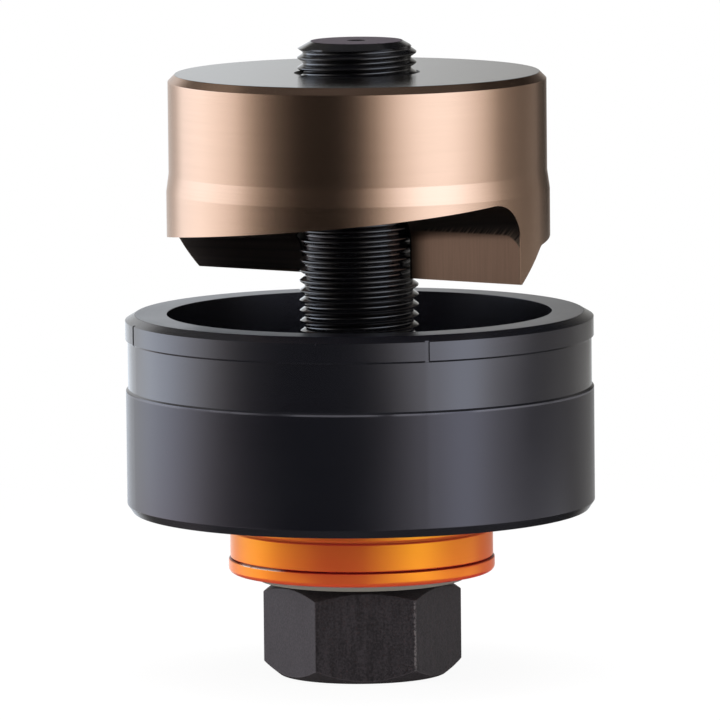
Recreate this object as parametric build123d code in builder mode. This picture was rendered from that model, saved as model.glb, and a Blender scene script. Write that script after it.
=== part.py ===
"""Knockout punch for round holes in sheet metal, with its ball bearing draw screw.

The hexagon head of the screw stands on z = 0, and the screw rises along +Z.
On the head sit the thrust bearing, the die and, above the open die, the
two-point punch that the screw draws down into it. All sizes are millimetres.
"""

import os
from math import cos, degrees, pi, radians, sin, tan

from build123d import *

# Driving dimensions of the draw screw
screw_diameter = 19.05
screw_projection = 5.0
screw_end_chamfer_height = 1.3
screw_end_chamfer_width = 2.0
centre_hole_diameter = 3.0
centre_hole_angle = 60
neck_fillet = 0.6
hex_across_flats = 27.0
head_height = 15.0
head_face_inset = 1.4
head_chamfer_angle = 30
head_turn = 2.0

# Driving dimensions of the thrust bearing
race_diameter = 35.0
race_thickness = 3.2
race_shoulder_width = 0.8
race_bore_chamfer = 0.8
bearing_height = 10.0
ball_to_race_width = 0.701
pocket_wall = 1.16

# Driving dimensions of the bearing housing and its cover ring
housing_wall = 2.05
housing_roof = 1.0
housing_edge_chamfer = 0.3
line_height = 3.0
line_width = 0.35
line_depth = 0.15
cover_reveal = 1.2
cover_height = 2.3
cover_lip = 0.8
cover_overhang = 0.25
cover_edge_radius = 0.7
tongue_height = 1.5
tongue_wall = 0.8

# Driving dimensions of the die
die_height = 31.0
die_wall = 6.525
die_floor = 8.0
die_floor_fillet = 1.5
die_foot_chamfer_height = 1.3
die_foot_chamfer_width = 0.9
die_rim_chamfer_height = 0.9
die_rim_chamfer_width = 1.55
die_band_height = 3.2
die_recess_height = 7.6
die_recess_depth = 0.35
mark_count = 4
mark_width = 0.7
mark_depth = 0.3
mark_angle = -73.6

# Driving dimensions of the punch
punch_diameter = 60.0
punch_height = 31.9
punch_gap = 5.7
punch_body_step = 0.4
punch_rim_chamfer = 1.1
punch_bore_chamfer = 1.0
flare_height = 2.9
flare_margin = 0.27
tooth_count = 2
tooth_height = 13.33
tip_angle = -33.3
tip_width = 0.35
relief_angle = 37.3
relief_height = 5.45
relief_blend = 2.5
gullet_radius = 6.0

# Clearances, each measured on the radius or between two faces
running_gap = 0.05
passing_gap = 0.275
bearing_gap = 0.3
ball_gap = 0.1
pocket_gap = 0.12
cage_side_gap = 0.4
cage_face_gap = 0.7
die_gap = 0.175

# Heights of the stack, from the foot of the head to the end of the screw
bearing_bottom = head_height
ball_level = bearing_bottom + bearing_height / 2
bearing_top = bearing_bottom + bearing_height
shaft_race_top = bearing_bottom + race_thickness
housing_race_bottom = bearing_top - race_thickness
cover_bottom = bearing_bottom + cover_reveal
cover_top = cover_bottom + cover_height
lip_top = cover_bottom + cover_lip
die_bottom = bearing_top + housing_roof
die_top = die_bottom + die_height
punch_bottom = die_top + punch_gap
punch_top = punch_bottom + punch_height
screw_top = punch_top + screw_projection

# Radii that two pieces share
screw_radius = screw_diameter / 2
running_bore = screw_radius + running_gap
passing_bore = screw_radius + passing_gap
race_radius = race_diameter / 2
shoulder_radius = race_radius + race_shoulder_width
ball_radius = ball_to_race_width * (race_radius - running_bore) / 2
ball_circle = (running_bore + race_radius) / 2
groove_radius = ball_radius + ball_gap
housing_bore = shoulder_radius + bearing_gap
housing_radius = housing_bore + housing_wall
tongue_radius = housing_bore + tongue_wall
punch_radius = punch_diameter / 2
die_bore = punch_radius + die_gap
die_radius = die_bore + die_wall


def edges_at(builder, kind, height):
    """Edges of one kind whose middle lies at this height."""
    reach = 0.001
    return builder.edges().filter_by(kind).filter_by_position(Axis.Z, height - reach, height + reach)


# Draw screw: a hexagon head that is turned to a round face at each end, and the shank
face_radius = hex_across_flats / 2 - head_face_inset
corner_radius = hex_across_flats / 2 / cos(radians(30))
corner_drop = (corner_radius - face_radius) * tan(radians(head_chamfer_angle))
centre_hole_radius = centre_hole_diameter / 2
centre_hole_depth = centre_hole_radius / tan(radians(centre_hole_angle / 2))

with BuildPart() as draw_screw:
    with BuildSketch(Plane.XY):
        RegularPolygon(hex_across_flats / 2, 6, major_radius=False, rotation=head_turn)
    extrude(amount=head_height)
    with BuildSketch(Plane.XZ):
        with BuildLine():
            Polyline(
                (0, 0),
                (face_radius, 0),
                (corner_radius, corner_drop),
                (corner_radius, head_height - corner_drop),
                (face_radius, head_height),
                (0, head_height),
                close=True,
            )
        make_face()
    revolve(axis=Axis.Z, mode=Mode.INTERSECT)
    with BuildSketch(Plane.XZ):
        with BuildLine():
            Polyline(
                (0, head_height / 2),
                (screw_radius, head_height / 2),
                (screw_radius, screw_top - screw_end_chamfer_height),
                (screw_radius - screw_end_chamfer_width, screw_top),
                (centre_hole_radius, screw_top),
                (0, screw_top - centre_hole_depth),
                close=True,
            )
        make_face()
    revolve(axis=Axis.Z)
    neck = edges_at(draw_screw, GeomType.CIRCLE, head_height).sort_by(SortBy.RADIUS)[0]
    fillet(neck, radius=neck_fillet)

# Shaft race: rests on the head, and its shoulder stays behind the lip of the cover
with BuildPart() as shaft_race:
    with BuildSketch(Plane.XZ):
        with BuildLine():
            Polyline(
                (running_bore + race_bore_chamfer, bearing_bottom),
                (race_radius, bearing_bottom),
                (race_radius, lip_top + bearing_gap),
                (shoulder_radius, lip_top + bearing_gap),
                (shoulder_radius, shaft_race_top),
                (running_bore, shaft_race_top),
                (running_bore, bearing_bottom + race_bore_chamfer),
                close=True,
            )
        make_face()
        with Locations((ball_circle, ball_level)):
            Circle(groove_radius, mode=Mode.SUBTRACT)
    revolve(axis=Axis.Z)

# Housing race: seated under the roof of the housing, with the matching groove
with BuildPart() as housing_race:
    with BuildSketch(Plane.XZ):
        with BuildLine():
            Polyline(
                (screw_radius + bearing_gap, housing_race_bottom),
                (housing_bore - running_gap, housing_race_bottom),
                (housing_bore - running_gap, bearing_top),
                (screw_radius + bearing_gap, bearing_top),
                close=True,
            )
        make_face()
        with Locations((ball_circle, ball_level)):
            Circle(groove_radius, mode=Mode.SUBTRACT)
    revolve(axis=Axis.Z)

# Ball cage: a flat ring between the races, with one pocket for each ball that has room
ball_count = int(2 * pi * ball_circle / (2 * (ball_radius + pocket_gap) + pocket_wall))
cage_bottom = shaft_race_top + cage_face_gap
cage_top = housing_race_bottom - cage_face_gap

with BuildPart() as ball_cage:
    with BuildSketch(Plane.XY.offset(cage_bottom)):
        Circle(race_radius - cage_side_gap)
        Circle(running_bore + cage_side_gap, mode=Mode.SUBTRACT)
        with PolarLocations(ball_circle, ball_count):
            Circle(ball_radius + pocket_gap, mode=Mode.SUBTRACT)
    extrude(amount=cage_top - cage_bottom)

# Balls: each one in its pocket, between the two grooves
balls = []
for index in range(ball_count):
    turn = radians(360 * index / ball_count)
    with BuildPart() as ball:
        with Locations((ball_circle * cos(turn), ball_circle * sin(turn), ball_level)):
            Sphere(ball_radius)
    balls.append(ball)

# Bearing housing: an inverted cup that carries the die on its roof
line_top = die_bottom - line_height + line_width / 2
line_bottom = line_top - line_width

with BuildPart() as bearing_housing:
    with BuildSketch(Plane.XZ):
        with BuildLine():
            Polyline(
                (tongue_radius + running_gap, cover_top),
                (housing_radius, cover_top),
                (housing_radius, line_bottom),
                (housing_radius - line_depth, (line_bottom + line_top) / 2),
                (housing_radius, line_top),
                (housing_radius, die_bottom),
                (running_bore, die_bottom),
                (running_bore, bearing_top),
                (housing_bore, bearing_top),
                (housing_bore, cover_top + tongue_height),
                (tongue_radius + running_gap, cover_top + tongue_height),
                close=True,
            )
        make_face()
    revolve(axis=Axis.Z)
    roof_edge = edges_at(bearing_housing, GeomType.CIRCLE, die_bottom).sort_by(SortBy.RADIUS)[-1]
    chamfer(roof_edge, length=housing_edge_chamfer)

# Housing cover: the ring that closes the bearing, with a tongue inside the housing wall
cover_radius = housing_radius + cover_overhang
lip_radius = race_radius + bearing_gap

with BuildPart() as housing_cover:
    with BuildSketch(Plane.XZ):
        with BuildLine():
            Polyline(
                (lip_radius, cover_bottom),
                (cover_radius, cover_bottom),
                (cover_radius, cover_top),
                (tongue_radius, cover_top),
                (tongue_radius, cover_top + tongue_height - running_gap),
                (housing_bore, cover_top + tongue_height - running_gap),
                (housing_bore, lip_top),
                (lip_radius, lip_top),
                close=True,
            )
        make_face()
    revolve(axis=Axis.Z)
    foot_edge = edges_at(housing_cover, GeomType.CIRCLE, cover_bottom).sort_by(SortBy.RADIUS)[-1]
    fillet(foot_edge, radius=cover_edge_radius)

# Die: an open cup whose upper inner edge cuts, with a shallow recess round the outside
recess_top = die_top - die_rim_chamfer_height - die_band_height
recess_bottom = recess_top - die_recess_height
cavity_bottom = die_bottom + die_floor

with BuildPart() as die:
    with BuildSketch(Plane.XZ):
        with BuildLine():
            Polyline(
                (passing_bore, die_bottom),
                (die_radius - die_foot_chamfer_width, die_bottom),
                (die_radius, die_bottom + die_foot_chamfer_height),
                (die_radius, recess_bottom),
                (die_radius - die_recess_depth, recess_bottom),
                (die_radius - die_recess_depth, recess_top),
                (die_radius, recess_top),
                (die_radius, die_top - die_rim_chamfer_height),
                (die_radius - die_rim_chamfer_width, die_top),
                (die_bore, die_top),
                (die_bore, cavity_bottom),
                (passing_bore, cavity_bottom),
                close=True,
            )
        make_face()
    revolve(axis=Axis.Z)
    cavity_edge = edges_at(die, GeomType.CIRCLE, cavity_bottom).sort_by(SortBy.RADIUS)[-1]
    fillet(cavity_edge, radius=die_floor_fillet)
    # marks down the upper band, which are set on the cross lines scribed on the sheet
    with BuildSketch(Plane.XY.offset(recess_top)):
        with PolarLocations(die_radius, mark_count, start_angle=mark_angle):
            Rectangle(2 * mark_depth, mark_width)
    extrude(amount=die_top - recess_top, mode=Mode.SUBTRACT)

# Punch: a turned blank, whose lower face is cut along helices into teeth. From the flank
# of each tip a steep relief rises to the ramp, and the ramp rises more gently, all the
# way round to the gullet beside the flank of the next tip.
tip_turn = degrees(tip_width / punch_radius)
relief_rise = tan(radians(relief_angle)) * punch_radius * radians(1)
relief_turn = relief_height / relief_rise
ramp_turn = 360 / tooth_count - tip_turn - relief_turn
ramp_rise = (tooth_height - relief_height) / ramp_turn
flare_bottom = punch_bottom + tooth_height + flare_margin
flare_top = flare_bottom + flare_height
body_radius = punch_radius - punch_body_step


def helical_cut(rise, turn):
    """Solid below a radial face that climbs by rise for each degree of the turn."""
    depth = 2 * tooth_height
    with BuildPart() as cut:
        with BuildLine():
            Helix(pitch=360 * rise, height=rise * turn, radius=punch_radius)
        with BuildSketch(Plane.XZ):
            with Locations((punch_radius, -depth / 2)):
                Rectangle(2 * punch_radius - running_bore, depth)
        sweep(is_frenet=True)
    return cut.part


relief_cut = helical_cut(relief_rise, relief_turn)
ramp_cut = helical_cut(ramp_rise, ramp_turn)

with BuildPart() as punch:
    with BuildSketch(Plane.XZ):
        with BuildLine():
            Polyline(
                (running_bore, punch_bottom),
                (punch_radius, punch_bottom),
                (punch_radius, flare_bottom),
                (body_radius, flare_top),
                (body_radius, punch_top - punch_rim_chamfer),
                (body_radius - punch_rim_chamfer, punch_top),
                (running_bore + punch_bore_chamfer, punch_top),
                (running_bore, punch_top - punch_bore_chamfer),
                close=True,
            )
        make_face()
    revolve(axis=Axis.Z)
    relief_start = tip_angle + tip_turn
    with Locations((0, 0, punch_bottom)):
        with PolarLocations(0, tooth_count, start_angle=relief_start):
            add(relief_cut, mode=Mode.SUBTRACT)
    with Locations((0, 0, punch_bottom + relief_height)):
        with PolarLocations(0, tooth_count, start_angle=relief_start + relief_turn):
            add(ramp_cut, mode=Mode.SUBTRACT)
    fillet(edges_at(punch, GeomType.BSPLINE, punch_bottom + tooth_height), radius=gullet_radius)
    fillet(edges_at(punch, GeomType.BSPLINE, punch_bottom + relief_height), radius=relief_blend)

# Files: one for each piece, named after it
pieces = {
    "draw_screw": draw_screw,
    "shaft_race": shaft_race,
    "housing_race": housing_race,
    "ball_cage": ball_cage,
    "bearing_housing": bearing_housing,
    "housing_cover": housing_cover,
    "die": die,
    "punch": punch,
}
for number, ball in enumerate(balls, start=1):
    pieces[f"ball_{number:02d}"] = ball

os.makedirs("parts", exist_ok=True)
for name, piece in pieces.items():
    piece.part.label = name
    export_step(piece.part, f"parts/{name}.step")
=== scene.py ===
"""Looks of a knockout punch for round holes, with its ball bearing draw screw.

The hexagon head of the screw stands on z = 0. On it sit the thrust bearing in its
orange housing, the black die and, above the open die, the bronze coated punch.
Lengths are written in millimetres and turned to metres where a mesh is made.
"""

from math import atan, cos, floor, pi, radians, sin, sqrt, tan

import bmesh
import bpy
from mathutils import Matrix, Vector


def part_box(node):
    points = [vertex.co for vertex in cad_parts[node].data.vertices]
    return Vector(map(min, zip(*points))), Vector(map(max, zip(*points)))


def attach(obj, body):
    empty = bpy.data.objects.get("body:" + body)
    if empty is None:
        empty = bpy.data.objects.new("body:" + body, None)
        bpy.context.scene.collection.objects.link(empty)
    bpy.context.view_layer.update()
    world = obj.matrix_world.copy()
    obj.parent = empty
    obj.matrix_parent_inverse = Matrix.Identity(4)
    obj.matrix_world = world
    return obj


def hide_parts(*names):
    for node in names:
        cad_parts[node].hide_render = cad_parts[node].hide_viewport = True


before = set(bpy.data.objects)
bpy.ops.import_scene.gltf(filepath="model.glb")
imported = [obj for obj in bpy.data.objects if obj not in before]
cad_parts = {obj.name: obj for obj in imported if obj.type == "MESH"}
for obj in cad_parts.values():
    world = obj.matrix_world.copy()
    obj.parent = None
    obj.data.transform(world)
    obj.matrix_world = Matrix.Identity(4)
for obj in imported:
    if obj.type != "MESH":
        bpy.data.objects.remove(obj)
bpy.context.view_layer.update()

# A millimetre and the distance at which points are joined, both in metres
MM = 0.001
WELD = 2e-8

# Faces that meet at a smaller angle look smooth
smooth_angle = radians(28)


def heights(node):
    """Lowest and highest point of a CAD node, in millimetres."""
    low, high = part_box(node)
    return low.z / MM, high.z / MM


def outer_radius(node):
    """Outer radius of a round CAD node, in millimetres."""
    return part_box(node)[1].x / MM


# Draw screw
screw_top = heights("draw_screw")[1]
screw_radius = 9.525
screw_end_height = 1.3
screw_end_radius = 7.15
centre_hole_radius = 1.5
centre_hole_depth = 2.6
thread_pitch = 1.5875
thread_bottom = 32.0
thread_runout = 3.0
thread_turn = radians(147.4)
thread_rows = (0.05, 0.085, 0.24, 0.40, 0.45, 0.55, 0.60, 0.76, 0.915, 0.95)
thread_depths = ((0.0, 0.2), (0.05, 0.2), (0.085, 0.24), (0.40, 0.97), (0.45, 1.01), (0.5, 1.01))
head_top = heights("shaft_race")[0]
head_flat = 13.5
head_face_radius = 12.1
head_cone_slope = tan(radians(30))
head_turn = radians(32)
head_corner_round = 0.35
head_round_centre = (head_flat - head_corner_round) / cos(pi / 6)
head_corner = head_round_centre + head_corner_round
head_flat_end = atan((head_flat - head_corner_round) * tan(pi / 6) / head_flat)
foot_face_radius = 13.1
foot_cone_slope = 0.81
head_edge_round = 0.22
neck_fillet = 0.6

# Bearing and its housing
race_bottom, race_top = heights("shaft_race")
race_radius = 17.5
race_shoulder_radius = outer_radius("shaft_race")
race_shoulder_bottom = 17.3
race_chamfer = 1.2
race_bore = 9.575
race_bore_chamfer = 0.8
groove_radius = 2.878
groove_half_turn = 0.68
ball_circle = 13.5375
ball_level = 20.0
housing_bottom, housing_top = heights("bearing_housing")
housing_radius = outer_radius("bearing_housing")
housing_bore = 18.6
housing_counterbore = 19.45
counterbore_height = 1.5
roof_thickness = 1.0
line_middle = 23.12
line_half_width = 0.34
line_depth = 0.17
cover_bottom, tongue_top = heights("housing_cover")
cover_radius = outer_radius("housing_cover")
cover_top = housing_bottom
cover_lip_radius = 17.8
cover_lip_top = 17.0
tongue_radius = 19.4
# Left and right ends of the glint painted on the cover's top edge
glint_left = -19.2
glint_right = -11.5

# Die
die_bottom, die_top = heights("die")
die_radius = outer_radius("die")
die_hole = 9.8
die_bore = 30.175
die_floor = 34.0
die_floor_fillet = 1.5
foot_chamfer_height = 1.3
foot_chamfer_width = 0.9
rim_chamfer_height = 0.9
rim_chamfer_width = 1.55
recess_bottom = 45.3
recess_top = 52.9
recess_radius = 36.35
recess_slope = 0.3
mark_count = 4
mark_half_width = 0.35
mark_radius = 36.4
mark_turn = radians(-73.6)

# Punch
punch_bottom, punch_top = heights("punch")
punch_radius = outer_radius("punch")
punch_bore = 9.575
body_radius = 29.6
tooth_count = 2
tooth_turn = 2 * pi / tooth_count
tooth_height = 13.33
tip_turn = radians(-33.3)
tip_width = 0.35
tip_end = tip_width / punch_radius
relief_height = 5.45
relief_rise = tan(radians(37.3))
relief_end = tip_end + relief_height / relief_rise / punch_radius
relief_blend = 2.5
ramp_slope = (tooth_height - relief_height) / (tooth_turn - relief_end)
gullet_radius = 6.0
flare_bottom = punch_bottom + 13.6
flare_top = flare_bottom + 2.9
bore_step = flare_bottom + 0.2
punch_rim_chamfer = 1.1
bore_edge = 0.25
# Where the shadow painted on the tooth's flank begins, and how it bends down near the rim
flank_shadow_height = punch_bottom + 7.55
flank_shadow_bend_radius = 27
flank_shadow_bend = 0.23
thread_gap = 0.06

# Camera, at the photograph's viewing angle
camera_place = Vector((0, -1391.8, 211.8))
camera_target = Vector((0.03, 0, 49.35))
camera_roll = radians(-0.5853)
camera_lens = 447.0


class Value:
    """An output socket of a node. Arithmetic on it adds the Math nodes."""

    def __init__(self, graph, socket):
        self.graph = graph
        self.socket = socket

    def maths(self, operation, *others):
        """A Math node with this value first and the others after it."""
        sockets = dict(enumerate((self, *others)))
        return self.graph.node("ShaderNodeMath", {"operation": operation}, sockets)

    def __add__(self, other):
        return self.maths("ADD", other)

    def __radd__(self, other):
        return self.maths("ADD", other)

    def __sub__(self, other):
        return self.maths("SUBTRACT", other)

    def __rsub__(self, other):
        return self.graph.number("SUBTRACT", other, self)

    def __mul__(self, other):
        return self.maths("MULTIPLY", other)

    def __truediv__(self, other):
        return self.maths("DIVIDE", other)

    def __pow__(self, other):
        return self.maths("POWER", other)


class Graph:
    """A node tree, emptied, to which nodes are added by their type."""

    def __init__(self, tree):
        self.tree = tree
        self.tree.nodes.clear()

    def node(self, kind, settings=None, sockets=None, output=0):
        """Adds a node: its settings first, then the values or links of its sockets."""
        made = self.tree.nodes.new(kind)
        for name, setting in (settings or {}).items():
            if name == "stops":
                self.set_stops(made.color_ramp, setting)
            else:
                setattr(made, name, setting)
        for name, value in (sockets or {}).items():
            if isinstance(value, Value):
                self.tree.links.new(value.socket, made.inputs[name])
            else:
                made.inputs[name].default_value = value
        return Value(self, made.outputs[output]) if made.outputs else None

    def set_stops(self, ramp, stops):
        """Gives a colour ramp its (place, brightness) stops."""
        while len(ramp.elements) > 1:
            ramp.elements.remove(ramp.elements[-1])
        for index, (place, level) in enumerate(stops):
            element = ramp.elements[0] if index == 0 else ramp.elements.new(place)
            element.position = place
            element.color = (level, level, level, 1)

    def number(self, operation, *values):
        """A Math node on numbers and values."""
        return self.node("ShaderNodeMath", {"operation": operation}, dict(enumerate(values)))

    def step(self, value, start, end):
        """0 where the value is below start, 1 above end, and smooth between them."""
        settings = {"interpolation_type": "SMOOTHSTEP"}
        sockets = {"Value": value, "From Min": start, "From Max": end}
        return self.node("ShaderNodeMapRange", settings, sockets)

    def mix(self, share, first, second):
        """A colour between two, each a Value or three numbers."""
        first, second = (c if isinstance(c, Value) else (*c, 1) for c in (first, second))
        settings = {"data_type": "RGBA"}
        sockets = {0: share, 6: first, 7: second}
        return self.node("ShaderNodeMix", settings, sockets, output=2)

    def vector(self, x, y, z):
        """A vector from three numbers or values."""
        return self.node("ShaderNodeCombineXYZ", None, {0: x, 1: y, 2: z})


class Finish(Graph):
    """A material, with the point that is shaded given as its place on a turned piece."""

    def __init__(self, name):
        self.material = bpy.data.materials.new(name)
        self.material.use_nodes = True
        super().__init__(self.material.node_tree)
        place = self.node("ShaderNodeTexCoord", None, None, "Object")
        self.place = self.scaled(place, 1 / MM)
        parts = [self.node("ShaderNodeSeparateXYZ", None, {0: self.place}, axis) for axis in range(3)]
        self.x, self.y, self.height = parts
        self.radius = (self.x * self.x + self.y * self.y) ** 0.5

    def scaled(self, vector, factor):
        """A vector made longer, by one number or by one for each axis."""
        if isinstance(factor, (int, float)):
            return self.node("ShaderNodeVectorMath", {"operation": "SCALE"}, {0: vector, 3: factor})
        return self.node("ShaderNodeVectorMath", {"operation": "MULTIPLY"}, {0: vector, 1: factor})

    def noise(self, size, detail=2.0, roughness=0.5, stretch=(1, 1, 1)):
        """Cloudy noise whose lumps are about size millimetres across."""
        where = self.scaled(self.place, tuple(s / size for s in stretch))
        sockets = {"Vector": where, "Scale": 1.0, "Detail": detail, "Roughness": roughness}
        return self.node("ShaderNodeTexNoise", None, sockets)

    def turned(self, size, turns=2.0, detail=2.0):
        """Fine lines all round a turned piece, about size millimetres apart."""
        across = (self.height + self.radius * 1.31) / size
        around = self.vector(self.x / self.radius * turns, self.y / self.radius * turns, 0.0)
        sockets = {"Vector": around, "W": across, "Scale": 1.0, "Detail": detail}
        return self.node("ShaderNodeTexNoise", {"noise_dimensions": "4D"}, sockets)

    def rays(self, count):
        """Noise that changes only round the axis, with about count lumps in each radian."""
        around = self.vector(self.x / self.radius * count, self.y / self.radius * count, 0.0)
        sockets = {"Vector": around, "Scale": 1.0, "Detail": 3.0}
        return self.node("ShaderNodeTexNoise", None, sockets)

    def specks(self, size, spread, seed):
        """1 in small round specks, size millimetres across and about spread apart."""
        settings = {"feature": "F1", "voronoi_dimensions": "4D"}
        sockets = {"Vector": self.scaled(self.place, 1 / spread), "W": seed, "Scale": 1.0}
        distance = self.node("ShaderNodeTexVoronoi", settings, sockets)
        reach = size / spread / 2
        return 1 - self.step(distance, reach * 0.6, reach * 1.2)

    def bump(self, height, depth):
        """A normal for a height from 0 to 1 that stands for a depth in millimetres."""
        sockets = {"Strength": 1.0, "Distance": depth * MM, "Height": height}
        return self.node("ShaderNodeBump", None, sockets)

    def surface(self, **sockets):
        """The shader of the finish. Underscores in the names stand for spaces."""
        named = {name.replace("_", " "): value for name, value in sockets.items()}
        shader = self.node("ShaderNodeBsdfPrincipled", None, named)
        self.node("ShaderNodeOutputMaterial", None, {"Surface": shader})
        return self.material


def punch_coating():
    """Bronze coloured coating on turned steel, greyer on the ground top face.

    The milled underside is greyer, with cutter marks, and darker as painted shade. The flank of the
    tooth that is seen from the camera's side has strokes of its own, painted shade by the bore and a
    painted shadow of the gullet's edge over its upper part, streaked with cutter marks."""
    finish = Finish("punch_coating")
    lines = finish.turned(0.22, 1.5, 3.0)
    bands = finish.turned(1.6, 0.6, 2.0)
    cloud = finish.noise(9.0, 3.0)
    shade = lines * 0.5 + bands * 0.3 + cloud * 0.2
    bronze = finish.mix(shade, (0.73, 0.475, 0.335), (0.85, 0.56, 0.41))
    top = finish.step(finish.height, punch_top - 0.06, punch_top - 0.02)
    ground = finish.mix(lines, (0.33, 0.315, 0.30), (0.41, 0.39, 0.375))
    inside = 1 - finish.step(finish.radius, punch_radius - 0.25, punch_radius - 0.12)
    below = 1 - finish.step(finish.height, flare_bottom - 0.3, flare_bottom - 0.1)
    milled = inside * below
    off_flank = finish.x * sin(tip_turn) - finish.y * cos(tip_turn)
    flank = 1 - finish.step(off_flank.maths("ABSOLUTE"), 0.05, 0.5)
    strokes = finish.noise(0.3, 2.0, 0.5, (1, 1, 0.04))
    side = finish.mix(strokes, (0.57, 0.35, 0.25), (0.72, 0.45, 0.325))
    # Painted shade on the flank close to the bore
    side = finish.mix(finish.step(finish.radius, 8.0, 13.5), (0.08, 0.055, 0.045), side)
    # Painted shadow of the gullet's outer edge over the flank's upper part, streaked with cutter
    # marks
    beyond = (finish.radius - flank_shadow_bend_radius).maths("MAXIMUM", 0)
    corner = finish.height + beyond * beyond * flank_shadow_bend - flank_shadow_height
    corner = finish.step(corner, -0.15, 0.3)
    cutter = finish.vector((finish.radius - finish.height) / 0.5, 0.0, 0.0)
    cutter = finish.node("ShaderNodeTexNoise", None, {"Vector": cutter, "Scale": 1.0, "Detail": 2.0})
    cutter = finish.step(cutter, 0.4, 0.7)
    side = finish.mix(corner, side, finish.mix(cutter, (0.06, 0.045, 0.037), (0.50, 0.36, 0.27)))
    # Painted shade: the milled underside, which faces down, is a darker copy of the flank's milled
    # colour
    under = finish.mix(finish.rays(26.0), (0.12, 0.10, 0.09), (0.40, 0.32, 0.27))
    # Painted shade in the bore and on its top edge
    painted_bore_shade = 1 - finish.step(finish.radius, punch_bore + bore_edge, punch_bore + bore_edge + 0.04)
    colour = finish.mix(top, bronze, ground)
    colour = finish.mix(milled, colour, finish.mix(flank, under, side))
    colour = finish.mix(painted_bore_shade, colour, (0.03, 0.026, 0.024))
    rough = 0.22 + lines * 0.03 - top * 0.015 + milled * 0.14 + painted_bore_shade * 0.3
    return finish.surface(
        Base_Color=colour,
        Metallic=1.0,
        Roughness=rough,
        Coat_Weight=0.3,
        Coat_Roughness=0.22,
        Coat_IOR=1.4,
        Normal=finish.bump(lines, 0.0004),
    )


def die_blackening():
    """Black oxide on turned steel, with a few pits and a highlight painted along the edge below the
    recess.
    """
    finish = Finish("die_blackening")
    lines = finish.turned(0.3, 1.2, 3.0)
    cloud = finish.noise(11.0, 3.0)
    pits = finish.specks(0.35, 3.1, 4.0) * finish.step(finish.noise(16.0), 0.52, 0.6)
    shade = lines * 0.5 + cloud * 0.5
    black = finish.mix(shade, (0.0022, 0.0026, 0.004), (0.005, 0.0056, 0.0085))
    upper = finish.step(finish.height, recess_bottom - 0.2, recess_bottom)
    rim = finish.step(finish.height, die_top - 0.08, die_top - 0.02)
    # Painted highlight along the rounded outer edge below the recess, broken up by the cloud
    edge_height = recess_bottom - recess_slope
    from_edge = (finish.height - edge_height).maths("ABSOLUTE")
    outside = finish.step(finish.radius, die_radius - 0.4, die_radius - 0.2)
    painted_edge_highlight = (1 - finish.step(from_edge, 0.08, 0.22)) * outside * finish.step(cloud, 0.3, 0.5)
    black = finish.mix(painted_edge_highlight, black, (0.045, 0.045, 0.052))
    rough = 0.2 + lines * 0.04 + cloud * 0.06 + pits * 0.3 + rim * 0.06
    return finish.surface(
        Base_Color=finish.mix(pits, black, (0.004, 0.004, 0.005)),
        Roughness=rough,
        IOR=1.84,
        Specular_Tint=(0.95, 0.88, 1.0, 1.0),
        Coat_Weight=upper * 0.5 - rim * 0.45,
        Coat_Roughness=0.14,
        Coat_IOR=1.8,
        Normal=finish.bump(lines * 0.3 - pits * 1.0, 0.004),
    )


def screw_blackening():
    """Oiled black thread, and a rough forged head with a highlight painted along its right-hand
    corners.
    """
    finish = Finish("screw_blackening")
    forged = 1 - finish.step(finish.height, head_top - 0.05, head_top + 0.05)
    grain = finish.noise(0.35, 4.0, 0.6)
    smears = finish.noise(3.0, 4.0, 0.6, (1, 1, 0.4))
    drawn = finish.noise(0.7, 3.0, 0.6, (1, 1, 0.1))
    # Painted highlight along the head's corners on the right, broken up by the grain
    painted_edge_highlight = finish.step(finish.radius, head_corner - 0.12, head_corner - 0.03) * forged
    painted_edge_highlight = painted_edge_highlight * finish.step(finish.x, 2, 6)
    cone = finish.height - (finish.radius - foot_face_radius) * foot_cone_slope
    foot = 1 - finish.step(cone, 0.1, 0.25)
    thread = finish.mix(smears, (0.002, 0.002, 0.0025), (0.005, 0.005, 0.006))
    head = drawn * 0.35 + grain * 0.65
    head = finish.mix(finish.step(head, 0.36, 0.64), (0.008, 0.0067, 0.0075), (0.027, 0.0225, 0.0255))
    head = finish.mix(foot * 0.6, head, (0.04, 0.034, 0.037))
    head = finish.mix(painted_edge_highlight * finish.step(grain, 0.4, 0.6), head, (0.09, 0.08, 0.08))
    end = finish.step(finish.height, screw_top - 0.05, screw_top - 0.02)
    bare = forged.maths("MAXIMUM", end)
    colour = finish.mix(forged, thread, head)
    rough = 0.1 + smears * 0.08 + bare * (0.27 + drawn * 0.2)
    return finish.surface(
        Base_Color=finish.mix(end, colour, (0.05, 0.036, 0.05)),
        Roughness=rough,
        IOR=1.5,
        Specular_Tint=(1.0, 0.9, 0.94, 1.0),
        Coat_Weight=(1 - bare) * 0.7,
        Coat_Roughness=0.1,
        Coat_IOR=1.8,
        Normal=finish.bump(grain * (forged * 0.6 + 0.4) + smears * 0.4, 0.02),
    )


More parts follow.
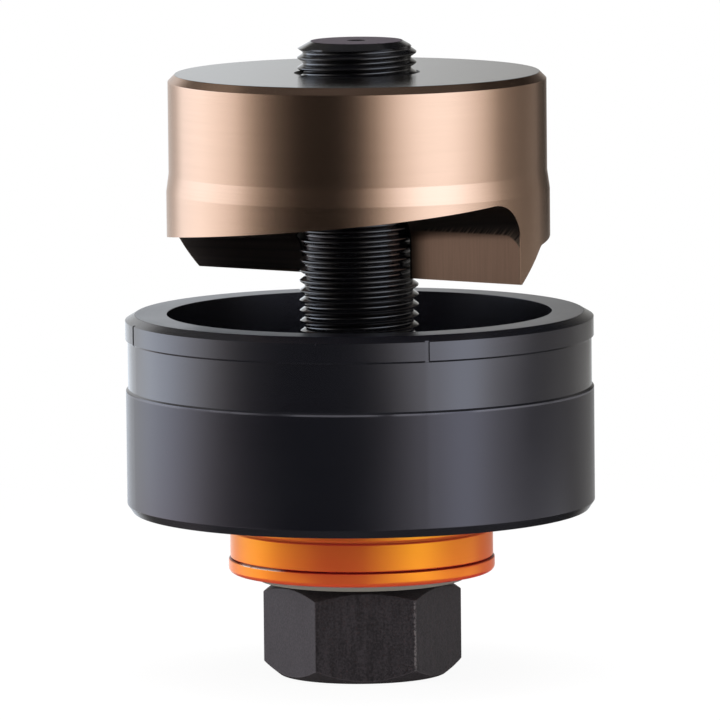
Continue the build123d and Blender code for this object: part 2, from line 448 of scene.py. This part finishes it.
def orange_anodising():
    """Satin orange anodising on turned aluminium, with painted shade in the seam and the groove line,
    and a glint painted along the cover's top edge at the front.
    """
    finish = Finish("orange_anodising")
    lines = finish.turned(0.25, 1.0, 2.0)
    cloud = finish.noise(7.0, 2.0)
    shade = lines * 0.5 + cloud * 0.5
    dye = finish.mix(shade, (0.92, 0.020, 0.048), (0.99, 0.032, 0.064))
    gloss = finish.mix(shade, (0.92, 0.44, 0.004), (0.99, 0.51, 0.006))
    from_seam = (finish.height - cover_top).maths("ABSOLUTE")
    from_line = (finish.height - line_middle).maths("ABSOLUTE")
    # Painted shade in the seam between housing and cover, and in the groove line
    seam = 1 - finish.step(from_seam, 0.05, 0.24)
    line = 1 - finish.step(from_line, 0.05, 0.3)
    shaded = seam * 0.85 + line * 0.4
    dye = finish.mix(shaded, dye, (0.12, 0.012, 0.003))
    gloss = finish.mix(shaded, gloss, (0.25, 0.05, 0.003))
    # Painted glint, near white, on the cover's top edge at the front left
    edge = finish.step(finish.height, cover_top - 0.26, cover_top - 0.18)
    edge = edge * (1 - finish.step(finish.height, cover_top + 0.02, cover_top + 0.1))
    front = 1 - finish.step(finish.y, -4, -2)
    left_end = finish.step(finish.x, glint_left, glint_left + 0.8)
    right_end = finish.step(finish.x, glint_right - 2.5, glint_right)
    painted_seam_glint = edge * front * left_end * (1 - right_end)
    painted_seam_glint = painted_seam_glint * finish.step(finish.noise(0.6), 0.25, 0.45) * 0.8
    dye = finish.mix(painted_seam_glint, dye, (0.9, 0.86, 0.82))
    gloss = finish.mix(painted_seam_glint, gloss, (0.9, 0.86, 0.82))
    normal = finish.bump(lines, 0.0006)
    rough = 0.28 + lines * 0.06
    film = {"Coat Weight": 1.0, "Coat Roughness": 0.3, "Coat IOR": 1.1}
    common = {"Specular IOR Level": 0.0, "Normal": normal, **film}
    dyed = {"Base Color": dye, "Roughness": rough, **common}
    metal = {"Base Color": gloss, "Metallic": 1.0, "Roughness": rough, **common}
    below = finish.node("ShaderNodeBsdfPrincipled", None, dyed)
    above = finish.node("ShaderNodeBsdfPrincipled", None, metal)
    both = finish.node("ShaderNodeMixShader", None, {0: 0.58, 1: below, 2: above})
    finish.node("ShaderNodeOutputMaterial", None, {"Surface": both})
    return finish.material


def plain_metal(name, dark, light, rough, size, metallic=1.0):
    """Bare metal, turned or ground, with lines of about the given size."""
    finish = Finish(name)
    lines = finish.turned(size, 1.0, 2.0)
    return finish.surface(
        Base_Color=finish.mix(lines, dark, light),
        Metallic=metallic,
        Roughness=rough + lines * 0.08,
        Normal=finish.bump(lines, 0.001),
    )


def arc_points(before, corner, after, radius, steps):
    """Points of the arc that rounds the corner between two neighbours."""
    here = Vector(corner)
    back = (Vector(before) - here).normalized()
    on = (Vector(after) - here).normalized()
    half = back.angle(on) / 2
    centre = here + (back + on).normalized() * radius / sin(half)
    start = here + back * radius / tan(half) - centre
    end = here + on * radius / tan(half) - centre
    turn = start.angle_signed(end)
    points = []
    for step in range(steps + 1):
        points.append(centre + Matrix.Rotation(-turn * step / steps, 2) @ start)
    return [(point.x, point.y) for point in points]


def rounded(corners, steps=4):
    """Profile points from (radius, height, rounding) corners; a closed profile."""
    points = []
    for index, (radius, height, rounding) in enumerate(corners):
        if rounding == 0:
            points.append((radius, height))
            continue
        before = corners[index - 1][:2]
        after = corners[(index + 1) % len(corners)][:2]
        points += arc_points(before, (radius, height), after, rounding, steps)
    return points


def strip(mesh, turns, profiles, closed=True, seam=0):
    """Adds a band of faces round the axis, one profile of (radius, height) points for each turn.

    Where the band is a helix, its row at the last turn goes on as a row that is seam
    rows further up at the first turn."""
    rings = []
    for turn, profile in zip(turns, profiles):
        points = [(r * cos(turn) * MM, r * sin(turn) * MM, z * MM) for r, z in profile]
        rings.append([mesh.verts.new(point) for point in points])
    last = len(rings[0]) - 1
    for index, ring in enumerate(rings):
        following = rings[(index + 1) % len(rings)]
        shift = seam if index == len(rings) - 1 else 0
        for row in range(last + closed):
            upper = (row + 1) % (last + 1)
            beside = min(row + shift, last)
            above = min(upper + shift, last)
            corners = [ring[row], following[beside], following[above], ring[upper]]
            if beside == above:
                corners.pop(1)
            mesh.faces.new(corners)


def made_piece(name, mesh, material, body, node):
    """Joins the mesh's double points, smooths it, and lets it stand for its CAD node."""
    bmesh.ops.remove_doubles(mesh, verts=mesh.verts, dist=WELD)
    bmesh.ops.dissolve_degenerate(mesh, edges=mesh.edges, dist=WELD)
    bmesh.ops.recalc_face_normals(mesh, faces=mesh.faces)
    data = bpy.data.meshes.new(name)
    mesh.to_mesh(data)
    mesh.free()
    data.shade_smooth()
    data.set_sharp_from_angle(angle=smooth_angle)
    data.materials.append(material)
    piece = bpy.data.objects.new(name, data)
    bpy.context.scene.collection.objects.link(piece)
    normals = piece.modifiers.new("weighted_normals", "WEIGHTED_NORMAL")
    normals.keep_sharp = True
    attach(piece, body)
    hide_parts(node)


def turned_piece(name, corners, material, body, node, count=180):
    """A ring turned from one closed profile."""
    mesh = bmesh.new()
    turns = [2 * pi * index / count for index in range(count)]
    profile = rounded(corners)
    strip(mesh, turns, [profile] * count)
    made_piece(name, mesh, material, body, node)


def thread_depth(place):
    """Depth of the screw thread below its crest, at a place from 0 to 1 along one pitch."""
    fold = min(place, 1 - place)
    for (start, shallow), (end, deep) in zip(thread_depths, thread_depths[1:]):
        if fold <= end:
            return shallow + (deep - shallow) * (fold - start) / (end - start)
    return thread_depths[-1][1]


def thread_profile(turn, bottom, top, radius_at):
    """Points up a thread at one turn round it, between two heights."""
    points = []
    start = (turn - thread_turn) / (2 * pi)
    for pitch in range(floor(bottom / thread_pitch) - 2, floor(top / thread_pitch) + 3):
        for row in thread_rows:
            height = min(max((pitch + row + start) * thread_pitch, bottom), top)
            place = (height / thread_pitch - start) % 1
            points.append((radius_at(height, place), height))
    return points


def head_side_radius(turn):
    """Distance from the axis to the side of the hexagon, whose corners are slightly round."""
    off_flat = (turn - head_turn + pi / 6) % (pi / 3) - pi / 6
    off_corner = pi / 6 - abs(off_flat)
    if abs(off_flat) <= head_flat_end:
        return head_flat / cos(off_flat)
    sideways = head_round_centre * sin(off_corner)
    return head_round_centre * cos(off_corner) + sqrt(head_corner_round**2 - sideways**2)


def head_profile(turn):
    """Outline of the head at one turn, from the middle of its foot up to the thread."""
    side = head_side_radius(turn)
    drop = (side - head_face_radius) * head_cone_slope
    foot_drop = (side - foot_face_radius) * foot_cone_slope
    corners = [
        (0, 0, 0),
        (foot_face_radius, 0, head_edge_round),
        (side, foot_drop, head_edge_round),
        (side, head_top - drop, head_edge_round),
        (head_face_radius, head_top, head_edge_round),
        (screw_radius, head_top, neck_fillet),
        (screw_radius, thread_bottom, 0),
    ]
    return rounded(corners)


def screw_thread_radius(height, place):
    """Radius of the screw at a height and a place on the thread's pitch."""
    runout = min((height - thread_bottom) / thread_runout, 1.0)
    end_slope = (screw_radius - screw_end_radius) / screw_end_height
    end = screw_end_radius + (screw_top - height) * end_slope
    return min(screw_radius - thread_depth(place) * runout, end)


def draw_screw(material):
    """Hexagon head, neck, thread and centre hole, as one piece."""
    corner_half = pi / 6 - head_flat_end
    flat_step = radians(2.4)
    turns = []
    for side in range(6):
        middle = head_turn + side * pi / 3
        turns += [middle + flat_step * step for step in range(-12, 13)]
        turns += [middle + pi / 6 + corner_half * step / 2 for step in range(-2, 3)]
    mesh = bmesh.new()
    strip(mesh, turns, [head_profile(turn) for turn in turns], closed=False)
    threads = [thread_profile(turn, thread_bottom, screw_top, screw_thread_radius) for turn in turns]
    strip(mesh, turns, threads, closed=False, seam=len(thread_rows))
    end = [
        (screw_end_radius, screw_top),
        (centre_hole_radius, screw_top),
        (0, screw_top - centre_hole_depth),
    ]
    strip(mesh, turns, [end] * len(turns), closed=False)
    made_piece("rolled_screw", mesh, material, "draw_screw", "draw_screw")


def shaft_race(material):
    """Lower washer of the thrust bearing, with the shoulder that the cover retains."""
    groove = []
    for step in range(-8, 9):
        across = groove_radius * sin(step / 8 * groove_half_turn)
        rise = ball_level - sqrt(groove_radius**2 - across**2)
        if rise < race_top:
            groove.append((ball_circle - across, rise, 0))
    lip = sqrt(groove_radius**2 - (ball_level - race_top) ** 2)
    corners = [
        (race_bore + race_bore_chamfer, race_bottom, 0),
        (race_radius - race_chamfer, race_bottom, 0.1),
        (race_radius, race_bottom + race_chamfer, 0.1),
        (race_radius, race_shoulder_bottom, 0),
        (race_shoulder_radius, race_shoulder_bottom, 0.1),
        (race_shoulder_radius, race_top, 0.2),
        (ball_circle + lip, race_top, 0),
        *groove,
        (ball_circle - lip, race_top, 0),
        (race_bore, race_top, 0.2),
        (race_bore, race_bottom + race_bore_chamfer, 0),
    ]
    turned_piece("ground_shaft_race", corners, material, "draw_screw", "shaft_race")


def bearing_housing(material):
    """Inverted cup that carries the die on its roof."""
    corners = [
        (housing_counterbore, housing_bottom, 0.1),
        (housing_radius, housing_bottom, 0.36),
        (housing_radius, line_middle - line_half_width, 0.08),
        (housing_radius - line_depth, line_middle, 0.08),
        (housing_radius, line_middle + line_half_width, 0.08),
        (housing_radius, housing_top, 0.35),
        (race_bore, housing_top, 0.3),
        (race_bore, housing_top - roof_thickness, 0),
        (housing_bore, housing_top - roof_thickness, 0),
        (housing_bore, housing_bottom + counterbore_height, 0),
        (housing_counterbore, housing_bottom + counterbore_height, 0),
    ]
    turned_piece(
        "anodised_housing", corners, material, "bearing_housing", "bearing_housing"
    )


def housing_cover(material):
    """Ring that closes the bearing, with a tongue inside the housing's wall."""
    corners = [
        (cover_lip_radius, cover_bottom, 0.15),
        (cover_radius, cover_bottom, 0.8),
        (cover_radius, cover_top, 0.32),
        (tongue_radius, cover_top, 0),
        (tongue_radius, tongue_top, 0.1),
        (housing_bore, tongue_top, 0.1),
        (housing_bore, cover_lip_top, 0),
        (cover_lip_radius, cover_lip_top, 0.1),
    ]
    turned_piece(
        "anodised_cover", corners, material, "bearing_housing", "housing_cover"
    )


def die_profile(in_mark):
    """Outline of the die: an open cup, cut back to the floor of a mark where it has one."""
    chamfer_bottom = die_top - rim_chamfer_height
    chamfer_slope = rim_chamfer_height / rim_chamfer_width
    mark_top = chamfer_bottom + (die_radius - mark_radius) * chamfer_slope
    band = mark_radius if in_mark else die_radius
    outside = [
        (die_hole, die_bottom, 0.3),
        (die_radius - foot_chamfer_width, die_bottom, 0.2),
        (die_radius, die_bottom + foot_chamfer_height, 0.25),
        (die_radius, recess_bottom - recess_slope / 2, 0.3),
        (recess_radius, recess_bottom + recess_slope / 2, 0.05),
        (recess_radius, recess_top, 0.03),
        (mark_radius, recess_top + recess_slope / 7, 0),
        (band, recess_top + recess_slope, 0),
        (band, chamfer_bottom, 0),
        (mark_radius, mark_top, 0),
        (die_radius - rim_chamfer_width, die_top, 0.2),
        (die_bore, die_top, 0.08),
        (die_bore, die_floor, die_floor_fillet),
        (die_hole, die_floor, 0.3),
    ]
    return rounded(outside)


def die(material):
    """Open cup with a recess round the outside, and marks down its upper band."""
    half = mark_half_width / die_radius
    steps = 44
    turns = []
    marked = []
    for index in range(mark_count):
        middle = mark_turn + index * 2 * pi / mark_count
        turns += [middle - half, middle - half, middle, middle + half, middle + half]
        marked += [False, True, True, True, False]
        gap = 2 * pi / mark_count - 2 * half
        turns += [middle + half + gap * step / steps for step in range(1, steps)]
        marked += [False] * (steps - 1)
    mesh = bmesh.new()
    profiles = {state: die_profile(state) for state in (False, True)}
    strip(mesh, turns, [profiles[state] for state in marked])
    made_piece("turned_die", mesh, material, "die", "die")


def ramp_height(turn, radius):
    """Height of the punch's lower face above its tips, at a turn past a tip and a radius."""
    if turn <= tip_end:
        return 0.0
    steep = relief_rise * punch_radius / radius
    gentle = ramp_slope / radius
    steep_length = sqrt(1 + steep**2)
    gentle_length = sqrt(1 + gentle**2)
    blend_along = relief_blend * (steep_length - gentle_length) / (steep - gentle)
    blend_down = steep * blend_along - relief_blend * steep_length
    along = (turn - relief_end) * radius
    blend_start = blend_along - relief_blend * steep / steep_length
    blend_end = blend_along - relief_blend * gentle / gentle_length
    if along <= blend_start:
        return max(relief_height + along * steep, 0.0)
    if along <= blend_end:
        rise = sqrt(relief_blend**2 - (along - blend_along) ** 2)
        return relief_height + blend_down + rise
    ramp = relief_height + along * gentle
    to_flank = (tooth_turn - turn) * radius
    gullet_end = gullet_radius * (1 + gentle / gentle_length)
    if to_flank >= gullet_end:
        return ramp
    centre = tooth_height - gentle * gullet_radius - gullet_radius * gentle_length
    rise = sqrt(max(gullet_radius**2 - (gullet_radius - to_flank) ** 2, 0.0))
    return min(ramp, centre + rise)


def tooth_turns():
    """Turns past a tip at which the punch has a row of points, dense where it curves."""
    gullet = radians(36)
    turns = [0.0, tip_end]
    turns += [tip_end + (relief_end - tip_end) * step / 6 for step in range(1, 5)]
    turns += [relief_end + radians(step) for step in (-1.6, -0.8, 0, 0.8, 1.6, 3.0)]
    first = relief_end + radians(5)
    count = 56
    turns += [first + (tooth_turn - gullet - first) * step / count for step in range(count)]
    rows = 24
    turns += [tooth_turn - gullet * (1 - step / rows) ** 2 for step in range(rows + 1)]
    return turns


def punch_profile(turn):
    """Open outline of the punch at one turn past a tip, from its thread round to its thread."""
    inner_gullet = ramp_height(tooth_turn, punch_bore)
    outer_gullet = ramp_height(tooth_turn, punch_radius)
    bands = 9
    radii = [punch_bore + (punch_radius - punch_bore) * step / bands for step in range(bands + 1)]
    under = [(radius, punch_bottom + ramp_height(turn, radius)) for radius in radii]
    inner_row = max(punch_bottom + inner_gullet, under[0][1])
    outer_row = max(punch_bottom + outer_gullet, under[-1][1])
    upper = [
        (punch_radius, outer_row, 0),
        (punch_radius, flare_bottom, 0.1),
        (body_radius, flare_top, 0.15),
        (body_radius, punch_top - punch_rim_chamfer, 0.15),
        (body_radius - punch_rim_chamfer, punch_top, 0.12),
        (punch_bore + bore_edge, punch_top, 0),
    ]
    return [(punch_bore, bore_step), (punch_bore, inner_row), *under, *rounded(upper)]


def punch_thread_radius(height, place):
    """Radius of the punch's inner thread, which opens at both ends."""
    crest = screw_radius + thread_gap - thread_depth(place)
    opening = punch_bore + bore_edge - (punch_top - height)
    step = punch_bore - (height - bore_step)
    return max(crest, opening, step)


def punch(material):
    """Turned blank whose lower face is milled into two ramped teeth."""
    past_tip = []
    turns = []
    for tooth in range(tooth_count):
        start = tip_turn + tooth * tooth_turn
        past_tip += tooth_turns()
        turns += [start + turn for turn in tooth_turns()]
    mesh = bmesh.new()
    strip(mesh, turns, [punch_profile(turn) for turn in past_tip], closed=False)
    threads = [thread_profile(turn, bore_step, punch_top, punch_thread_radius) for turn in turns]
    strip(mesh, turns, threads, closed=False, seam=len(thread_rows))
    made_piece("milled_punch", mesh, material, "punch", "punch")


def dress_inner_pieces():
    """Finishes the pieces that keep their CAD shape, and returns the finish of the races."""
    steel = plain_metal("ball_polish", (0.56, 0.56, 0.57), (0.66, 0.66, 0.67), 0.08, 0.4)
    race = plain_metal("race_grinding", (0.33, 0.31, 0.27), (0.40, 0.37, 0.325), 0.4, 0.15, 0.5)
    brass = plain_metal("cage_brass_finish", (0.58, 0.39, 0.14), (0.74, 0.53, 0.21), 0.28, 0.2)
    for name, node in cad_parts.items():
        if name.startswith(("ball_0", "ball_1")):
            material = steel
        elif name == "ball_cage":
            material = brass
        elif name == "housing_race":
            material = race
        else:
            continue
        node.data.materials.clear()
        node.data.materials.append(material)
    return race


def tent_part(name, mesh, light_of):
    """Puts a part of the light tent in the scene, where only reflections see it."""
    data = bpy.data.meshes.new(name)
    mesh.to_mesh(data)
    mesh.free()
    finish = Finish(name)
    colour, strength = light_of(finish)
    light = finish.node("ShaderNodeEmission", None, {"Color": colour, "Strength": strength})
    finish.node("ShaderNodeOutputMaterial", None, {"Surface": light})
    finish.material.cycles.emission_sampling = "NONE"
    data.materials.append(finish.material)
    part = bpy.data.objects.new(name, data)
    bpy.context.scene.collection.objects.link(part)
    part.visible_camera = False
    part.visible_diffuse = False
    part.visible_transmission = False
    part.visible_shadow = False
    part.visible_volume_scatter = False


def tent_wall_light(finish):
    """Light of the tent's wall by the direction round from the camera's side and the height.

    The direction is positive to the right: a soft box each side, a dark gap by the camera,
    a flag at the right and pale card behind. The boxes are broader higher up.
    A colour ramp holds 32 stops at most."""
    low_stops = (
        (-180, 1.8), (-160, 1.4), (-150, 1.15), (-140, 0.9), (-130, 1.25), (-121, 1.6),
        (-103, 1.62), (-90, 1.27), (-73, 0.48), (-62, 0.16), (-53, 0.045), (-38, 0.006),
        (-25, 0.006), (-6, 0.009), (4, 0.02), (12, 0.075), (23, 0.37), (35, 0.98), (46, 1.5),
        (54, 1.5), (66, 0.6), (76, 0.25), (86, 0.09), (98, 0.16), (108, 0.23), (122, 0.27),
        (133, 0.35), (143, 0.37), (152, 0.39), (160, 0.6), (168, 1.0), (180, 1.8),
    )
    high_stops = (
        (-180, 0.85), (-175, 1.0), (-171, 1.05), (-163, 0.65), (-150, 0.47), (-139, 0.5),
        (-129, 1.22), (-122, 1.27), (-106, 1.38), (-90, 1.17), (-76, 0.9), (-68, 0.49),
        (-58, 0.22), (-48, 0.085), (-35, 0.022), (-12, 0.012), (0, 0.05), (10, 0.28),
        (24, 0.93), (35, 1.28), (48, 1.38), (58, 1.33), (74, 0.9), (82, 0.61), (92, 0.23),
        (104, 0.155), (116, 0.12), (132, 0.2), (139, 0.08), (156, 0.03), (170, 0.5), (180, 0.85),
    )
    forward = finish.y * -1
    leftward = finish.x * -1
    turn = finish.number("ARCTAN2", finish.x, forward)
    ramps = []
    for stops in (low_stops, high_stops):
        places = [((place + 180) / 360, level / 2) for place, level in stops]
        share = turn / (2 * pi) + 0.5
        ramps.append(finish.node("ShaderNodeValToRGB", {"stops": places}, {0: share}) * 2)
    upper = finish.step(finish.height, 13, 42)
    level = ramps[0] * (1 - upper) + ramps[1] * upper
    rise = 0.91 + upper * 0.13 + finish.step(finish.height, 75, 130) * 0.42
    level = level * rise * (1 - finish.step(finish.height, 165, 240) * 0.88)

    # High at the back, which the punch's top face mirrors
    back = finish.step(finish.y, 265, 296) * finish.step(finish.height, 85, 125)

    # Low at the left and right, which the foot of the die, the ring and the head mirror
    foot = 1 - finish.step(finish.height, -16, -7)
    foot_left = foot * finish.step(leftward, 150, 270)
    foot_left_upper = foot_left * finish.step(finish.height, -44, -34)
    foot_left_lower = foot_left - foot_left_upper
    foot_right = foot * finish.step(finish.x, 243, 292)

    # Two patches by the camera, which the orange ring mirrors
    by_camera = (1 - finish.step(finish.y, -120, -60)) * (1 - finish.step(finish.height, -50, -36))
    left_patch = finish.step(leftward, 190, 225)
    right_patch = finish.step(finish.x, 22, 45) * (1 - finish.step(finish.x, 110, 170))

    level = level * (1 - back * 0.44) * (1 - foot_left_upper * 0.3 + foot_left_lower * 0.15)
    level = level + foot_right * 0.72
    level = level + by_camera * (left_patch + right_patch) * 0.9
    level = level * (0.12 + finish.step(finish.height, -110, -50) * 0.88)
    cool = (level / 1.9).maths("MINIMUM", 1)
    colour = finish.mix(cool, (1.03, 0.985, 0.90), (0.87, 1.0, 1.17))
    return finish.mix(foot_left * 0.7, colour, (1.06, 0.94, 1.0)), level


def light_tent():
    """A round wall, a dark ceiling and a dim floor, which light the object's reflections."""
    radius, low, high = 300, -300, 450
    count = 96
    turns = [2 * pi * index / count for index in range(count)]
    wall = bmesh.new()
    strip(wall, turns, [[(radius, low), (radius, high)]] * count, closed=False)
    tent_part("tent_wall", wall, tent_wall_light)
    for name, height, strength in (("tent_ceiling", high, 0.07), ("tent_floor", low, 0.09)):
        disc = bmesh.new()
        strip(disc, turns, [[(radius, height), (1, height)]] * count, closed=False)
        tent_part(name, disc, lambda finish, strength=strength: ((1, 1, 1, 1), strength))


def studio_lamp(name, place, target, width, height, power):
    """A rectangular lamp that lights the surfaces but isn't mirrored in them."""
    light = bpy.data.lights.new(name, "AREA")
    light.shape = "RECTANGLE"
    light.size = width * MM
    light.size_y = height * MM
    light.energy = power
    lamp = bpy.data.objects.new(name, light)
    bpy.context.scene.collection.objects.link(lamp)
    lamp.location = Vector(place) * MM
    lamp.rotation_euler = (Vector(target) - Vector(place)).to_track_quat("-Z", "Y").to_euler()
    lamp.visible_glossy = False


def studio_lamps():
    """A lamp each side, and a wide one above."""
    aim = (0, 0, 45)
    studio_lamp("left_lamp", (-800, -250, 420), aim, 600, 700, 4.3)
    studio_lamp("right_lamp", (700, -600, 420), aim, 500, 700, 3.6)
    studio_lamp("top_lamp", (0, 100, 1000), aim, 900, 900, 5.5)


def studio_floor():
    """Pale floor that fades to white round the object, keeps its shadow and is clear from below."""
    floor_radius = 6.0
    shadow_start = 60
    shadow_end = 240
    mesh = bmesh.new()
    bmesh.ops.create_circle(mesh, cap_ends=True, cap_tris=False, segments=96, radius=floor_radius)
    data = bpy.data.meshes.new("studio_floor")
    mesh.to_mesh(data)
    mesh.free()
    finish = Finish("floor_paper")
    camera_ray = finish.node("ShaderNodeLightPath", None, None, "Is Camera Ray")
    near = 1 - finish.step(finish.radius, shadow_start, shadow_end)
    paper = finish.node("ShaderNodeBsdfDiffuse", None, {"Color": (0.9, 0.9, 0.9, 1)})
    white = finish.node("ShaderNodeEmission", None, {"Color": (1, 1, 1, 1), "Strength": 1.0})
    share = camera_ray * (1 - near * 0.08)
    both = finish.node("ShaderNodeMixShader", None, {0: share, 1: paper, 2: white})
    from_below = finish.node("ShaderNodeNewGeometry", None, None, "Backfacing") * camera_ray
    clear = finish.node("ShaderNodeBsdfTransparent")
    sheet = finish.node("ShaderNodeMixShader", None, {0: from_below, 1: both, 2: clear})
    finish.node("ShaderNodeOutputMaterial", None, {"Surface": sheet})
    data.materials.append(finish.material)
    floor_disc = bpy.data.objects.new("studio_floor", data)
    bpy.context.scene.collection.objects.link(floor_disc)
    floor_disc.location.z = -0.02 * MM
    floor_disc.visible_glossy = False


def studio_world():
    """Plain white world, which is also the soft light from all round."""
    world = bpy.data.worlds.new("studio_world")
    world.use_nodes = True
    bpy.context.scene.world = world
    graph = Graph(world.node_tree)
    light = graph.node("ShaderNodeBackground", None, {"Color": (1, 1, 1, 1), "Strength": 1.0})
    graph.node("ShaderNodeOutputWorld", None, {"Surface": light})


def studio_camera():
    """Camera at the photograph's angle, rolled by the photograph's small tilt."""
    data = bpy.data.cameras.new("studio_camera")
    data.lens = camera_lens
    data.sensor_width = 36.0
    data.clip_end = 20.0
    camera = bpy.data.objects.new("studio_camera", data)
    bpy.context.scene.collection.objects.link(camera)
    forward = (camera_target - camera_place).normalized()
    right = forward.cross(Vector((0, 0, 1))).normalized()
    up = right.cross(forward)
    across = right * cos(camera_roll) + up * sin(camera_roll)
    above = up * cos(camera_roll) - right * sin(camera_roll)
    turn = Matrix((across, above, -forward)).transposed()
    camera.matrix_world = Matrix.Translation(camera_place * MM) @ turn.to_4x4()
    bpy.context.scene.camera = camera


bpy.context.scene.view_settings.view_transform = "Standard"
studio_world()
studio_floor()
light_tent()
studio_lamps()
studio_camera()

race_finish = dress_inner_pieces()
anodising = orange_anodising()
draw_screw(screw_blackening())
shaft_race(race_finish)
bearing_housing(anodising)
housing_cover(anodising)
die(die_blackening())
punch(punch_coating())
